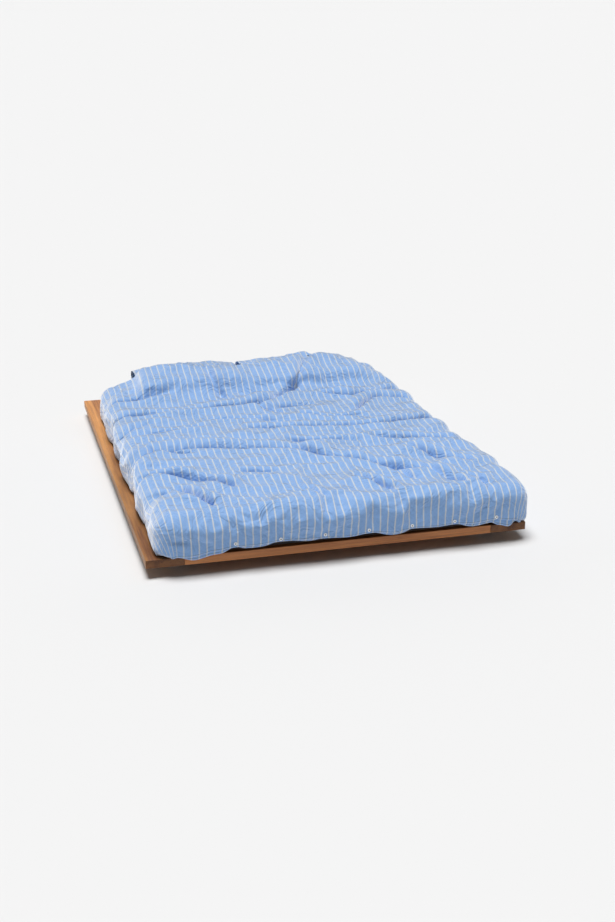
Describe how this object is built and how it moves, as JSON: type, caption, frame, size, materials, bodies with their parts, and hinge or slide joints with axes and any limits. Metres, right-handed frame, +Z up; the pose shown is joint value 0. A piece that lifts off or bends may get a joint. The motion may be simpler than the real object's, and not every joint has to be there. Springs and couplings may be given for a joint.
{
  "type": "bed with duvet",
  "caption": "Low slatted wooden platform bed with a mattress, two pillows and a draped duvet in a striped cotton cover that buttons at the foot.",
  "frame": {"origin": "on the floor under the middle of the middle bearer, which is the middle of the platform", "axes": "+X across the bed to the right seen from its foot, +Y from the foot to the head, +Z up"},
  "size_m": [1.6, 2.2249, 0.3661],
  "materials": {
    "oiled_wood": "oiled, satin, lengthwise grain",
    "plain_beech": "planed, unfinished",
    "zinc_plated_steel": "zinc plated",
    "grey_felt": "pressed felt",
    "charcoal_ticking": "woven ticking, matt",
    "mattress_foam": "open-cell foam, matt",
    "white_pillow_cotton": "downproof cotton, matt",
    "white_duvet_cotton": "downproof cotton, matt",
    "striped_cotton": "crumpled percale, light blue with narrow cream stripes",
    "white_shell": "polished shell button"
  },
  "bodies": {
    "platform": {"side_board_left": "oiled_wood", "side_board_right": "oiled_wood", "foot_board": "oiled_wood", "head_board": "oiled_wood", "bearer_foot": "oiled_wood", "bearer_middle": "oiled_wood", "bearer_head": "oiled_wood", "ledger_left": "plain_beech", "ledger_right": "plain_beech", "centre_beam": "plain_beech", "slat_01": "plain_beech", "slat_02": "plain_beech", "slat_03": "plain_beech", "slat_04": "plain_beech", "slat_05": "plain_beech", "slat_06": "plain_beech", "slat_07": "plain_beech", "slat_08": "plain_beech", "slat_09": "plain_beech", "slat_10": "plain_beech", "slat_11": "plain_beech", "slat_12": "plain_beech", "corner_plate_foot_left": "zinc_plated_steel", "corner_plate_foot_right": "zinc_plated_steel", "corner_plate_head_left": "zinc_plated_steel", "corner_plate_head_right": "zinc_plated_steel", "felt_foot": "grey_felt", "felt_middle": "grey_felt", "felt_head": "grey_felt"},
    "mattress": {"mattress_core": "mattress_foam", "mattress_cover": "charcoal_ticking", "mattress_base_panel": "charcoal_ticking"},
    "pillow_left": {"pillow_left_insert": "white_pillow_cotton", "pillow_left_case": "striped_cotton"},
    "pillow_right": {"pillow_right_insert": "white_pillow_cotton", "pillow_right_case": "striped_cotton"},
    "duvet": {"duvet_insert": "white_duvet_cotton", "duvet_cover_top_panel": "striped_cotton", "duvet_cover_under_panel": "striped_cotton", "upper_placket": "striped_cotton", "under_placket": "striped_cotton", "button_1": "white_shell", "button_2": "white_shell", "button_3": "white_shell", "button_4": "white_shell", "button_5": "white_shell", "button_6": "white_shell", "button_7": "white_shell"}
  },
  "joints": [
    {"name": "mattress_lift", "type": "slide", "parent": "platform", "child": "mattress", "axis": [0, 0, 1], "range_m": [0, 0.6]},
    {"name": "duvet_lift", "type": "slide", "parent": "mattress", "child": "duvet", "axis": [0, 0, 1], "range_m": [0, 0.6]},
    {"name": "pillow_left_draw", "type": "slide", "parent": "mattress", "child": "pillow_left", "axis": [0, 1, 0], "range_m": [0, 0.5]},
    {"name": "pillow_right_draw", "type": "slide", "parent": "mattress", "child": "pillow_right", "axis": [0, 1, 0], "range_m": [0, 0.5]}
  ]
}
